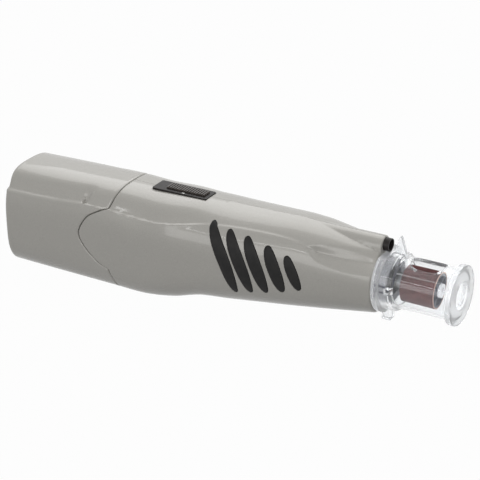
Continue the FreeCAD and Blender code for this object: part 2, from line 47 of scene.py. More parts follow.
SEAM = 49.2           # as far forward as the line between cap and housing comes
WALL = 1.8
SEAM_GAP = 0.3        # between cap and housing along that line
PARTING = 0.05        # from the middle plane to each housing half
CAP_CENTRE, CAP_FLOOR = 20.0, 0.4
NOSE_ROUND, NOSE_WALL, BOSS_BORE = 0.8, 3.0, 8.62
EDGE_ROUND = 0.55     # rounding of the painted rims along the seam

# Body sections: place, half width, top, underside, upper and lower corner power.
BODY_SECTIONS = [
    (0.4, 17.5, 40.0, -0.25, 3.1, 3.15),
    (24, 17.1, 40.5, -0.25, 3.15, 3.7),
    (46, 17.25, 40.8, -0.25, 3.1, 4.0),
    (60, 17.6, 40.6, -0.1, 2.75, 4.15),
    (72, 18.1, 40.8, 1.5, 2.75, 3.65),
    (84, 17.7, 41.0, 4.7, 2.6, 3.3),
    (96, 17.45, 40.9, 5.2, 2.6, 2.65),
    (110, 16.6, 41.15, 7.0, 2.55, 2.6),
    (123, 15.6, 41.25, 8.65, 2.5, 2.55),
    (137, 14.0, 39.8, 10.45, 2.25, 2.45),
    (152.8, 11.95, 37.1, 12.7, 2.1, 2.4),
]
REAR_WIDEST, NOSE_WIDEST = 17.0, 25.0    # height of the widest level at either end
CAP_ROUND = 1.2
RIDGE_RADIUS, RIDGE_HEIGHT, RIDGE_START = 4.0, 37.0, 116.0

# Line between cap and housing, as (place, height): above the side tab, round it, and below.
SEAM_ABOVE = [(48.3, 46), (48.0, 40.5), (47.7, 39.2), (46.8, 36.7)]
TAB_OUTLINE = [(45.7, 34.2), (42.1, 32.8), (36.7, 29.7), (33.2, 23.5), (35.1, 18.3), (40.7, 12.7), (46, 9.9)]
SEAM_BELOW = [(46.7, 7.8), (47.6, 5.7), (48.4, 3.7), (49.1, -2)]

# Styling crease down each side: (place, height) on the cap and on the housing, and the
# lower edge of the facet it opens into along the nose.
CAP_CREASE = [(0, 31.8), (20, 32.2), (34, 33.2)]
BODY_CREASE = [(46, 33.6), (66, 33.0), (89, 36.2), (100, 37.0), (118, 37.2), (127, 36.2), (134, 35.0),
               (143, 34.4), (151, 34.1)]
FACET_EDGE = [(127, 36.0), (130, 34.0), (133, 31.8), (143, 29.8), (151, 29.8)]
CAP_STEP, BODY_STEP, FACET_STEP = 1.2, 0.75, 1.6
CAP_CREASE_END, BODY_CREASE_END = (33.6, 34.7), (122, 130)

# Low keel along the top of the housing.
KEEL_START, KEEL_HALF_WIDTH, KEEL_HEIGHT = 89, 4, 0.18

# Switch plate: rear, front, half width and top.
BEZEL = (58.5, 81.9, 3.8, 41.25)
BEZEL_GAP = 0.12
LAMP_HEIGHT, LAMP_BORE = 38.0, 2.1
HOOD_REAR, HOOD_BORE = 148.9, 2.46
SCREW_PLACES = [(68.0, 9.5), (80.0, 20.0), (131.0, 15.0), (131.0, 32.2)]
SCREW_BORE, SCREW_SEAT = 2.5, 6.01

# Leaf-shaped grips: upper tip, lower tip, width and bow.
GRIP_LEAVES = [
    ((90.0, 37.7), (101.6, 13.5), 4.9, 1.15),
    ((97.6, 36.6), (107.8, 14.9), 4.9, 0.6),
    ((105.1, 35.7), (113.9, 16.2), 4.95, 0.35),
    ((113.6, 34.1), (120.4, 18.0), 5.0, 0.15),
    ((121.4, 32.1), (126.8, 20.0), 4.1, 0.0),
]
GRIP_PROUD, POCKET_DEPTH, POCKET_GAP = 0.3, 0.9, 0.14

# Sanding band: rear, front, inner and outer radius.
DRUM = (161.7, 174.5, 6.3, 6.75)
BAND_CHAMFER, BAND_LAP = 0.12, 0.16
GUARD_REAR, FLANGE_FRONT, DISC_REAR = 153.0, 155.2, 180.0
FLANGE_RADIUS, COLLAR_RADIUS, TUBE_RADIUS, TUBE_BORE = 12.2, 10.6, 9.4, 8.2
COLLAR_BORE, DISC_RADIUS, NAIL_HOLE = 8.6, 10.9, 5.0
COLLAR_FRONT = 160.0
FLANGE_FLAT = 35.1
PORT_CENTRE, PORT_RADIUS, PORT_STRETCH = 169.5, 4.4, 2.1
# Angle round the tube of the pale rib that paints a highlight line along it.
HIGHLIGHT_RIB_ANGLE = 48


# ---------------------------------------------------------------- form of the body

def blended(table, x, column):
    """Smooth value of one column of a table at x."""
    last = len(table) - 1
    index = 0
    while index < last - 1 and x > table[index + 1][0]:
        index += 1
    before, after = table[index], table[index + 1]
    span = after[0] - before[0]
    t = min(max((x - before[0]) / span, 0.0), 1.0)
    slopes = []
    for at in (index, index + 1):
        low, high = table[max(at - 1, 0)], table[min(at + 1, last)]
        slopes.append((high[column] - low[column]) / (high[0] - low[0]) * span)
    rise = after[column] - before[column]
    bend = (slopes[0] - rise) * (1 - t) + (rise - slopes[1]) * t
    return before[column] + rise * t + t * (1 - t) * bend


def fade(x, start, end):
    """0 before start, 1 after end, smooth between."""
    t = min(max((x - start) / (end - start), 0.0), 1.0)
    return t * t * (3 - 2 * t)


def section(x):
    """Half width, top, underside, powers and widest level of the body at x."""
    at = max(x, BODY_SECTIONS[0][0])
    sizes = [blended(BODY_SECTIONS, at, column) for column in range(1, 6)]
    return (*sizes, REAR_WIDEST + (NOSE_WIDEST - REAR_WIDEST) * x / NOSE_END)


def bare_reach(sizes, c, s, inset):
    """Distance from the section's centre to its outline, in the direction (c, s)."""
    half_width, top, under, upper_power, lower_power, widest = sizes
    rise = (top - widest if s >= 0 else widest - under) - inset
    power = upper_power if s >= 0 else lower_power
    return (abs(c / (half_width - inset)) ** power + abs(s / rise) ** power) ** (-1 / power)


def ridge_reach(sizes, x, c, s):
    """Distance to the half-round ridge over the nose, or 0 where it is out of reach."""
    if s <= 0 or x < RIDGE_START:
        return 0.0
    up = RIDGE_HEIGHT - sizes[5]
    along = up * s
    off = up * up - along * along
    if off > RIDGE_RADIUS ** 2:
        return 0.0
    return along + math.sqrt(RIDGE_RADIUS ** 2 - off)


def ledge(above, lip, step, width, hold, end):
    """Draw-in across a crease: a slight lip, a ledge that faces up, and a fade back to the form."""
    if above < 0:
        return -lip * (1 - fade(-above, 0.0, 0.9))
    rise = -lip + (step + lip) * fade(above, 0.0, width)
    return rise * (1 - fade(above, hold, end))


def styling(x, y, z):
    """How far the skin is drawn in by the creases, the nose facet and the top keel."""
    draw_in = 0.0
    if x < 40:
        above = z - blended(CAP_CREASE, x, 1)
        slant = 0.65 * min(max(above, 0.0), 5.5)
        end = fade(x - slant, *CAP_CREASE_END)
        draw_in += ledge(above, 0.12, CAP_STEP, 2.2, 2.6, 7.0) * (1 - end)
    if x > 34 and z > 20:
        above = z - blended(BODY_CREASE, x, 1)
        step = BODY_STEP * (1 - 0.6 * fade(x, 80, 88))
        draw_in += ledge(above, 0.06, step, 1.0, 1.4, 6.5) * (1 - fade(x, *BODY_CREASE_END))
    if x > FACET_EDGE[0][0]:
        upper, lower = blended(BODY_CREASE, x, 1), blended(FACET_EDGE, x, 1)
        t = (z - lower) / max(upper - lower, 0.01)
        strength = fade(x, FACET_EDGE[0][0], 132)
        if t > 0:
            draw_in += FACET_STEP * strength * min(t, 1.0) * (1 - fade(t, 1.0, 1.7))
    if x > KEEL_START and abs(y) < KEEL_HALF_WIDTH:
        along = fade(x, KEEL_START, KEEL_START + 1.5) * (1 - fade(x, 122, 128))
        draw_in -= KEEL_HEIGHT * (1 - abs(y) / KEEL_HALF_WIDTH) * along
    return draw_in


def skin(x, angle, inset=0.0, plain=False):
    """Point (x, y, z) of the body's skin at a station, an angle and a depth."""
    sizes = section(x)
    c, s = max(math.cos(angle), 0.0), math.sin(angle)
    reach = max(bare_reach(sizes, c, s, inset), ridge_reach(sizes, x, c, s) - inset)
    z = sizes[5] + reach * s
    if not plain:
        reach -= styling(x, reach * c, z)
    return x, reach * c, max(sizes[5] + reach * s, 0.0)


def seam_curve(gap):
    """Seam with its side tab as a dense list of (x, z), moved towards the cap by gap."""
    points = TAB_OUTLINE
    before = (2 * points[0][0] - points[1][0], 2 * points[0][1] - points[1][1])
    after = (2 * points[-1][0] - points[-2][0], 2 * points[-1][1] - points[-2][1])
    full = [before, *points, after]
    steps = 40
    curve = []
    for index in range(1, len(full) - 2):
        p0, p1, p2, p3 = full[index - 1:index + 3]
        for step in range(steps):
            t = step / steps
            curve.append(tuple(0.5 * (2 * b + (c - a) * t + (2 * a - 5 * b + 4 * c - d) * t * t
                                      + (3 * b - a - 3 * c + d) * t ** 3)
                               for a, b, c, d in zip(p0, p1, p2, p3)))
    curve = SEAM_ABOVE + curve + points[-1:] + SEAM_BELOW
    moved = []
    for index, (x, z) in enumerate(curve):
        x0, z0 = curve[max(index - 1, 0)]
        x1, z1 = curve[min(index + 1, len(curve) - 1)]
        length = math.hypot(x1 - x0, z1 - z0)
        moved.append((x + gap * (z1 - z0) / length, z - gap * (x1 - x0) / length))
    return moved


def rear_edge(curve, z, limit):
    """Where the housing begins at height z: the seam, or further back inside the tab."""
    best = limit
    for (xa, za), (xb, zb) in zip(curve, curve[1:]):
        low, high = min(za, zb), max(za, zb)
        if low <= z <= high and high > low:
            t = (z - za) / (zb - za)
            best = min(best, xa + t * (xb - xa))
    return best


# ---------------------------------------------------------------- mesh helpers

def place(x, y, z):
    """Point of the tool, in millimetres from the datum, as a point of the frame."""
    return Vector(((x - MIDDLE) * MM, y * MM, z * MM))


def new_object(name, vertices, faces, material, smooth_angle=35):
    """Mesh object shaded smooth, apart from edges sharper than the angle."""
    mesh = bpy.data.meshes.new(name)
    mesh.from_pydata(vertices, [], faces)
    mesh.validate()
    piece = bpy.data.objects.new(name, mesh)
    bpy.context.scene.collection.objects.link(piece)
    work = bmesh.new()
    work.from_mesh(mesh)
    bmesh.ops.remove_doubles(work, verts=work.verts, dist=1e-6)
    bmesh.ops.recalc_face_normals(work, faces=work.faces)
    work.to_mesh(mesh)
    work.free()
    mesh.materials.append(material)
    smooth(piece, smooth_angle)
    return piece


def smooth(piece, angle):
    """Smooth shading that keeps edges sharper than the angle."""
    piece.data.shade_smooth()
    piece.data.set_sharp_from_angle(angle=math.radians(angle))


def grid_faces(rows, columns, closed=False):
    """Quads of a grid of rows by columns, joined round if closed."""
    faces = []
    across = columns if closed else columns - 1
    for row in range(rows - 1):
        for column in range(across):
            after = (column + 1) % columns
            faces.append((row * columns + column, row * columns + after,
                          (row + 1) * columns + after, (row + 1) * columns + column))
    return faces


def apply_modifiers(piece):
    """Replaces a piece's mesh with its evaluated mesh and drops its modifiers."""
    graph = bpy.context.evaluated_depsgraph_get()
    mesh = bpy.data.meshes.new_from_object(piece.evaluated_get(graph))
    old = piece.data
    piece.modifiers.clear()
    piece.data = mesh
    bpy.data.meshes.remove(old)


def carve(piece, cutters, operation="DIFFERENCE"):
    """Cuts the cutters out of a piece, and removes them."""
    for cutter in cutters:
        step = piece.modifiers.new("cut", "BOOLEAN")
        step.object = cutter
        step.operation = operation
        step.solver = "EXACT"
    apply_modifiers(piece)
    for cutter in cutters:
        bpy.data.objects.remove(cutter)


def lathe(name, profile, material, sides, z=AXIS, closed=True):
    """Body of revolution about an axis along X, from an open or closed profile of (x, radius)."""
    vertices = []
    for x, radius in profile:
        for step in range(sides):
            angle = 2 * math.pi * step / sides
            vertices.append(place(x, radius * math.sin(angle), z + radius * math.cos(angle)))
    rows = len(profile)
    faces = grid_faces(rows, sides, closed=True)
    if closed:
        for column in range(sides):
            after = (column + 1) % sides
            faces.append(((rows - 1) * sides + column, (rows - 1) * sides + after, after, column))
    return new_object(name, vertices, faces, material)


def rounded_profile(corners, radius):
    """Closed profile of (x, r) corners with each corner rounded."""
    steps = 5
    profile = []
    count = len(corners)
    for index in range(count):
        before, here, after = (Vector(corners[(index + k) % count]) for k in (-1, 0, 1))
        into, out = (here - before), (after - here)
        reach = min(radius, into.length / 2.2, out.length / 2.2)
        if reach < 1e-4:
            profile.append(tuple(here))
            continue
        start, end = here - into.normalized() * reach, here + out.normalized() * reach
        for step in range(steps + 1):
            t = step / steps
            point = start * (1 - t) ** 2 + here * 2 * t * (1 - t) + end * t * t
            profile.append(tuple(point))
    return profile


def slab(name, low, high, material, bevel=0.0):
    """Box between two corners with rounded edges."""
    work = bmesh.new()
    bmesh.ops.create_cube(work, size=1.0)
    for vertex in work.verts:
        mixed = [low[k] if vertex.co[k] < 0 else high[k] for k in range(3)]
        vertex.co = place(*mixed)
    if bevel:
        bmesh.ops.bevel(work, geom=work.edges, offset=bevel * MM, segments=3, profile=0.5, affect="EDGES")
    mesh = bpy.data.meshes.new(name)
    work.to_mesh(mesh)
    work.free()
    piece = bpy.data.objects.new(name, mesh)
    bpy.context.scene.collection.objects.link(piece)
    mesh.materials.append(material)
    smooth(piece, 35)
    return piece


def bar_across(name, radius, x, z, y0, y1, material):
    """Round bar along Y, used as a cutter."""
    sides = 44
    vertices = []
    for y in (y0, y1):
        for step in range(sides):
            angle = 2 * math.pi * step / sides
            vertices.append(place(x + radius * math.cos(angle), y, z + radius * math.sin(angle)))
    faces = grid_faces(2, sides, closed=True)
    faces.append(tuple(range(sides)))
    faces.append(tuple(range(2 * sides - 1, sides - 1, -1)))
    return new_object(name, vertices, faces, material)


# ---------------------------------------------------------------- materials

def new_material(name, **inputs):
    """Principled material with the given socket values, spaces written as underscores."""
    material = bpy.data.materials.new(name)
    material.use_nodes = True
    for key, value in inputs.items():
        shader_of(material).inputs[key.replace("_", " ")].default_value = value
    return material


def shader_of(material):
    """The material's Principled shader."""
    return material.node_tree.nodes["Principled BSDF"]


def surface_of(material):
    """Socket that takes the material's finished shader."""
    return material.node_tree.nodes["Material Output"].inputs["Surface"]


def add_node(owner, kind, **values):
    """Adds a node, setting its attributes or, where it has no such attribute, its sockets."""
    node = owner.node_tree.nodes.new(kind)
    for key, value in values.items():
        if hasattr(node, key):
            setattr(node, key, value)
        else:
            node.inputs[key].default_value = value
    return node


def link(owner, source, target):
    """Joins two sockets."""
    owner.node_tree.links.new(source, target)


def object_coordinates(material):
    """Socket with the point's place on the object."""
    return add_node(material, "ShaderNodeTexCoord").outputs["Object"]


def mottle(material, scale, dark, light, detail=4.0, low=0.35, high=0.65):
    """Colour that varies between two shades, into the base colour."""
    noise = add_node(material, "ShaderNodeTexNoise", Scale=scale, Detail=detail)
    ramp = add_node(material, "ShaderNodeValToRGB")
    ramp.color_ramp.elements[0].position = low
    ramp.color_ramp.elements[1].position = high
    ramp.color_ramp.elements[0].color = (*dark, 1)
    ramp.color_ramp.elements[1].color = (*light, 1)
    link(material, object_coordinates(material), noise.inputs["Vector"])
    link(material, noise.outputs["Fac"], ramp.inputs["Fac"])
    link(material, ramp.outputs["Color"], shader_of(material).inputs["Base Color"])


def grain(material, scale, strength, distance, detail=2.0, voronoi=False):
    """Fine bump into the shader's normal, from noise or from cells."""
    kind = "ShaderNodeTexVoronoi" if voronoi else "ShaderNodeTexNoise"
    texture = add_node(material, kind, Scale=scale)
    if not voronoi:
        texture.inputs["Detail"].default_value = detail
    bump = add_node(material, "ShaderNodeBump", Strength=strength, Distance=distance)
    link(material, object_coordinates(material), texture.inputs["Vector"])
    height = texture.outputs["Distance" if voronoi else "Fac"]
    link(material, height, bump.inputs["Height"])
    link(material, bump.outputs["Normal"], shader_of(material).inputs["Normal"])


def silver_paint():
    """Glossy silver-grey lacquer over a fine metallic base coat."""
    material = new_material("silver_paint", Metallic=0.12, Roughness=0.4, Specular_IOR_Level=0.25,
                            Coat_Weight=0.6, Coat_Roughness=0.05)
    mottle(material, 5200, (0.335, 0.325, 0.300), (0.395, 0.383, 0.355), detail=1.0)
    grain(material, 9000, 0.05, 0.00003, detail=1.0)
    return material


def moulded(name, dark, light, roughness, bump=0.12, specular=0.5):
    """Moulded plastic or rubber with a fine surface texture."""
    material = new_material(name, Roughness=roughness, Specular_IOR_Level=specular)
    mottle(material, 400, dark, light)
    grain(material, 3000, bump, 0.00006)
    return material


def plain_metal(name, dark, light, roughness):
    """Turned or pressed metal with faint streaks."""
    material = new_material(name, Metallic=1.0, Roughness=roughness)
    mottle(material, 900, dark, light, detail=6.0)
    grain(material, 5000, 0.04, 0.00003)
    return material


def clear_plastic(name, face_on, edge_on, roughness):
    """Clear moulded plastic: see-through face on, paler towards its edges."""
    material = new_material(name, Roughness=roughness, IOR=1.4, Base_Color=(0.96, 0.97, 0.98, 1),
                            Specular_IOR_Level=0.2)
    shader = shader_of(material)
    facing = add_node(material, "ShaderNodeLayerWeight", Blend=0.3)
    amount = add_node(material, "ShaderNodeMapRange")
    amount.inputs["To Min"].default_value = face_on
    amount.inputs["To Max"].default_value = edge_on
    link(material, facing.outputs["Facing"], amount.inputs["Value"])
    link(material, amount.outputs["Result"], shader.inputs["Transmission Weight"])
    grain(material, 90, 0.06, 0.0004, detail=1.0)
    clear = add_node(material, "ShaderNodeBsdfTransparent")
    clear.inputs["Color"].default_value = (0.93, 0.94, 0.95, 1)
    path = add_node(material, "ShaderNodeLightPath")
    blend = add_node(material, "ShaderNodeMixShader")
    link(material, path.outputs["Is Shadow Ray"], blend.inputs[0])
    link(material, shader.outputs[0], blend.inputs[1])
    link(material, clear.outputs[0], blend.inputs[2])
    link(material, blend.outputs[0], surface_of(material))
    return material


def sanding_cloth():
    """Red-brown abrasive cloth: gritty, with darker worn patches."""
    material = new_material("sanding_cloth", Roughness=0.8, Specular_IOR_Level=0.15)
    mottle(material, 500, (0.045, 0.014, 0.014), (0.120, 0.050, 0.050), detail=8.0, low=0.3, high=0.7)
    grain(material, 2600, 0.5, 0.0002, voronoi=True)
    return material


def lamp_lens():
    """Slightly yellow clear lens of the lamp, which isn't lit."""
    material = new_material("lamp_lens", Roughness=0.05, IOR=1.5, Transmission_Weight=0.8)
    mottle(material, 600, (0.86, 0.81, 0.68), (0.92, 0.88, 0.78))
    grain(material, 2500, 0.05, 0.00003)
    return material


def cell_jacket():
    """Battery wrapper: dark, with a copper-coloured band towards the front end."""
    material = new_material("cell_jacket", Metallic=0.4, Roughness=0.3)
    split = add_node(material, "ShaderNodeSeparateXYZ")
    ramp = add_node(material, "ShaderNodeValToRGB")
    ramp.color_ramp.interpolation = "CONSTANT"
    ramp.color_ramp.elements[0].color = (0.02, 0.022, 0.026, 1)
    ramp.color_ramp.elements[1].position = 0.72
    ramp.color_ramp.elements[1].color = (0.5, 0.22, 0.09, 1)
    shift = add_node(material, "ShaderNodeMapRange")
    shift.inputs["From Min"].default_value = -0.086
    shift.inputs["From Max"].default_value = -0.031
    link(material, object_coordinates(material), split.inputs[0])
    link(material, split.outputs["X"], shift.inputs["Value"])
    link(material, shift.outputs["Result"], ramp.inputs["Fac"])
    link(material, ramp.outputs["Color"], shader_of(material).inputs["Base Color"])
    grain(material, 1500, 0.05, 0.00005)
    return material


SILVER = silver_paint()
RUBBER = moulded("black_rubber", (0.008, 0.008, 0.008), (0.014, 0.0135, 0.013), 0.5, specular=0.2)
BLACK = moulded("black_plastic", (0.016, 0.014, 0.013), (0.028, 0.025, 0.024), 0.32, 0.06, 0.15)
SLIDER = moulded("slider_plastic", (0.036, 0.028, 0.023), (0.054, 0.044, 0.037), 0.35, 0.06)
TRAY = moulded("tray_plastic", (0.02, 0.02, 0.02), (0.035, 0.034, 0.033), 0.55)
NAVY = moulded("nose_plastic", (0.012, 0.014, 0.028), (0.022, 0.026, 0.045), 0.3, 0.05)
CORE = moulded("drum_rubber", (0.045, 0.052, 0.075), (0.075, 0.083, 0.11), 0.55)
CLEAR = clear_plastic("clear_plastic", 0.99, 0.80, 0.02)
# Paler clear plastic for the disc and fin; on the tube's rib it is a painted highlight, and on the flange
# partly one.
MILKY_AND_HIGHLIGHT = clear_plastic("milky_plastic_and_highlight", 0.82, 0.42, 0.12)
CLOTH = sanding_cloth()
CLOTH_EDGE = moulded("cloth_edge", (0.42, 0.27, 0.22), (0.58, 0.40, 0.33), 0.8)
STEEL = plain_metal("steel", (0.52, 0.52, 0.53), (0.66, 0.66, 0.67), 0.25)
# Pale plated screw head: its near-white, non-metallic colour is a painted highlight standing in for the
# bright reflection of the head.
SCREW_PAINTED_HIGHLIGHT = moulded("screw_painted_highlight", (0.78, 0.78, 0.80), (0.88, 0.88, 0.90), 0.25)
DARK_STEEL = plain_metal("dark_steel", (0.10, 0.105, 0.11), (0.18, 0.185, 0.19), 0.35)
BRASS = plain_metal("brass", (0.55, 0.38, 0.16), (0.70, 0.50, 0.22), 0.3)
BOARD = moulded("board", (0.015, 0.07, 0.03), (0.03, 0.11, 0.045), 0.4)
WIRE = moulded("wire_cover", (0.35, 0.02, 0.015), (0.45, 0.035, 0.02), 0.4)
MAGNET = moulded("magnet", (0.03, 0.03, 0.032), (0.06, 0.06, 0.062), 0.6)
JACKET = cell_jacket()
LENS = lamp_lens()
WHITE_MARK = moulded("white_mark", (0.62, 0.62, 0.60), (0.72, 0.72, 0.70), 0.5)


# ---------------------------------------------------------------- body shells

# Columns round each half, and rows along the housing and the cap.
ANGLES = 150
LENGTHS = 230
CAP_LENGTHS = 90


def edge_draw(distance):
    """How far a rounded rim is drawn in at a distance from it."""
    if distance >= EDGE_ROUND:
        return 0.0
    return EDGE_ROUND - math.sqrt(EDGE_ROUND ** 2 - (EDGE_ROUND - distance) ** 2)


def rim_steps():
    """Distances from a rim that follow its rounding."""
    return [EDGE_ROUND * (1 - math.cos(math.pi / 2 * k / 4)) for k in range(4)] + [EDGE_ROUND]


def angle_list():
    """Angles from the bottom parting line up to the top one."""
    return [-math.pi / 2 + math.pi * k / (ANGLES - 1) for k in range(ANGLES)]


def parted(point, side):
    """Point moved to its side of the parting line, with a fine gap at the line."""
    x, y, z = point
    return place(x, side * max(y, PARTING), z)


def wall_solid(name, outer, inner, ring=False):
    """Closed wall between two skins given as columns of placed points."""
    rows, count = len(outer[0]), len(outer)
    vertices = [column[row] for columns in (outer, inner) for row in range(rows) for column in columns]
    total = rows * count
    sheet = grid_faces(rows, count, ring)
    faces = sheet + [tuple(total + index for index in reversed(face)) for face in sheet]
    last = list(range(total - count, total))
    edges = [last + last[:1]] if ring else [
        last, list(range(count)), list(range(0, total, count)), list(range(count - 1, total, count))]
    for edge in edges:
        faces += [(a, b, total + b, total + a) for a, b in zip(edge, edge[1:])]
    return new_object(name, vertices, faces, SILVER)


def towards_bore(point, share):
    """Point of the nose end moved towards the bore that the boss sits in."""
    x, y, z = point
    length = math.hypot(y, z - AXIS)
    reach = (length + (BOSS_BORE - length) * share) / length
    return x, y * reach, AXIS + (z - AXIS) * reach


def housing_column(angle, curve):
    """Outer and inner points of one housing half along its length, at one angle."""
    _, _, z = skin(SEAM, angle, plain=True)
    start = rear_edge(curve, z, SEAM)
    front = NOSE_END - NOSE_ROUND
    back = NOSE_END - NOSE_WALL
    places = [start + d for d in rim_steps()]
    first = places[-1]
    places += [first + (front - first) * k / LENGTHS for k in range(1, LENGTHS + 1)]
    outer = [skin(x, angle, edge_draw(x - start)) for x in places]
    inner = [skin(min(x, back), angle, WALL, plain=True) for x in places]
    for k in range(1, 6):
        turn = math.pi / 2 * k / 5
        outer.append(skin(front + NOSE_ROUND * math.sin(turn), angle, NOSE_ROUND * (1 - math.cos(turn))))
        inner.append(inner[-1])
    rim, inner_rim = outer[-1], inner[-1]
    for share in (0.2, 0.4, 0.6, 0.8, 1.0):
        outer.append(towards_bore(rim, share))
        inner.append(towards_bore(inner_rim, share))
    return outer, inner


def housing_shell(name, side):
    """One painted housing half: skin with its tab, nose end and wall."""
    curve = seam_curve(0.0)
    outer, inner = [], []
    for angle in angle_list():
        outside, inside = housing_column(angle, curve)
        outer.append([parted(point, side) for point in outside])
        inner.append([parted(point, side) for point in inside])
    return wall_solid(name, outer, inner)


def leaf_point(leaf, angle, grow=0.0):
    """Point (x, z) of a leaf's outline at an angle round it."""
    top, bottom, width, bow = leaf
    run, drop = bottom[0] - top[0], bottom[1] - top[1]
    length = math.hypot(run, drop)
    along = (run / length, drop / length)
    across = (-along[1], along[0])
    t = 0.5 - 0.5 * math.cos(angle)
    side = math.copysign(abs(math.sin(angle)) ** 0.8, math.sin(angle))
    half = side * (width / 2 + grow) + bow * math.sin(math.pi * t)
    reach = t * (length + 2 * grow) - grow
    return (top[0] + reach * along[0] + half * across[0],
            top[1] + reach * along[1] + half * across[1])


def side_reach(x, z):
    """Half width of the body at a place and height."""
    half_width, top, under, upper_power, lower_power, widest = section(x)
    rise = top - widest if z >= widest else widest - under
    power = upper_power if z >= widest else lower_power
    share = min(abs(z - widest) / rise, 0.999)
    reach = half_width * (1 - share ** power) ** (1 / power)
    return reach - styling(x, reach, z)


def leaf_solid(name, leaf, side, rings, grow=0.0):
    """Leaf-shaped solid on the side: rings of (share of the outline, height off the skin)."""
    count = 72
    outline = [leaf_point(leaf, 2 * math.pi * (k + 0.5) / count, grow) for k in range(count)]
    middle = [(outline[count // 4][axis] + outline[3 * count // 4][axis]) / 2 for axis in (0, 1)]
    vertices = []
    for share, height in rings:
        for point in outline:
            x, z = (middle[axis] + (point[axis] - middle[axis]) * share for axis in (0, 1))
            vertices.append(place(x, side * (side_reach(x, z) + height), z))
    return new_object(name, vertices, grid_faces(len(rings), count, closed=True), RUBBER)


def leaf_cutter(leaf, side):
    """Cutter for a grip's pocket, following the skin."""
    shares = [0.0, 0.25, 0.5, 0.75, 1.0]
    rings = [(share, -POCKET_DEPTH) for share in shares]
    rings += [(share, 2.5) for share in reversed(shares)]
    return leaf_solid("cutter", leaf, side, rings, POCKET_GAP)


def shared_cutters():
    """Cutters for the switch window and the lamp bore."""
    rear, front, half_width, _ = BEZEL
    reach = half_width + BEZEL_GAP
    window = slab("cutter", (rear - BEZEL_GAP, -reach, 36), (front + BEZEL_GAP, reach, 46), BLACK)
    return [window, lamp_cutter()]


def lamp_cutter():
    """Cutter for the lamp's bore through the ridge."""
    rear, front = 124, 156
    profile = [(rear, 0), (rear, LAMP_BORE), (HOOD_REAR, LAMP_BORE), (HOOD_REAR, HOOD_BORE),
               (front, HOOD_BORE), (front, 0)]
    return lathe("cutter", profile, BLACK, sides=48, z=LAMP_HEIGHT, closed=False)


def make_housing():
    """Both housing halves with their cut-outs."""
    for name, side in (("right", -1), ("left", 1)):
        shell = housing_shell(f"{name}_housing_shell", side)
        cutters = shared_cutters()
        cutters += [leaf_cutter(leaf, side) for leaf in GRIP_LEAVES]
        if side > 0:
            for x, z in SCREW_PLACES:
                cutters.append(bar_across("cutter", SCREW_BORE, x, z, SCREW_SEAT, 30, BLACK))
        carve(shell, cutters)
        smooth(shell, 32)
        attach(shell, "housing")
        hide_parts(f"{name}_housing")


def cap_column(angle, curve):
    """Outer and inner points of the cap from the middle of its rear end to its rim."""
    folded = angle if angle <= math.pi / 2 else math.pi - angle
    side = 1 if angle <= math.pi / 2 else -1
    _, _, z = skin(SEAM, folded, plain=True)
    end = rear_edge(curve, z, SEAM - SEAM_GAP)
    _, y, z = skin(REAR_END, folded, CAP_ROUND, plain=True)
    shares = (0.0, 0.25, 0.5, 0.75, 0.95)
    outer = [(REAR_END, y * t, CAP_CENTRE + (z - CAP_CENTRE) * t) for t in shares]
    for k in range(9):
        turn = math.pi / 2 * k / 8
        x = REAR_END + CAP_ROUND * (1 - math.cos(turn))
        outer.append(skin(x, folded, CAP_ROUND * (1 - math.sin(turn))))
    rim = [end - d for d in reversed(rim_steps())]
    start = REAR_END + CAP_ROUND
    outer += [skin(start + (rim[0] - start) * k / CAP_LENGTHS, folded) for k in range(1, CAP_LENGTHS)]
    outer += [skin(x, folded, edge_draw(end - x)) for x in rim]
    _, y, z = skin(CAP_FLOOR, folded, WALL, plain=True)
    inner = [(CAP_FLOOR, y * t, CAP_CENTRE + (z - CAP_CENTRE) * t) for t in shares]
    inner += [skin(max(point[0], CAP_FLOOR), folded, WALL, plain=True) for point in outer[len(inner):]]
    return [[(x, side * y, z) for x, y, z in points] for points in (outer, inner)]


def make_cap():
    """Rear cap: rounded rear edge, creased sides and tab notches."""
    curve = seam_curve(SEAM_GAP)
    angles = angle_list()
    angles += [math.pi - angle for angle in reversed(angles[1:-1])]
    columns = [cap_column(angle, curve) for angle in angles]
    outer = [[place(*point) for point in column[0]] for column in columns]
    inner = [[place(*point) for point in column[1]] for column in columns]
    cap = wall_solid("battery_cap_shell", outer, inner, ring=True)
    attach(cap, "battery_cap")
    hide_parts("battery_cap")


def make_grips():
    """Soft leaf-shaped grips, crowned and set into their pockets."""
    rings = [(0.0, -0.8), (0.5, -0.8), (1.0, -0.8), (1.0, -0.05), (0.985, 0.07), (0.94, 0.16),
             (0.86, 0.22), (0.7, 0.27), (0.5, 0.29), (0.25, GRIP_PROUD), (0.0, GRIP_PROUD)]
    for name, side in (("right", -1), ("left", 1)):
        for number, leaf in enumerate(GRIP_LEAVES, 1):
            grip = leaf_solid(f"{name}_leaf_grip_{number}", leaf, side, rings)
            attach(grip, "housing")
            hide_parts(f"{name}_grip_{number}")


# ---------------------------------------------------------------- guard, drum and nose

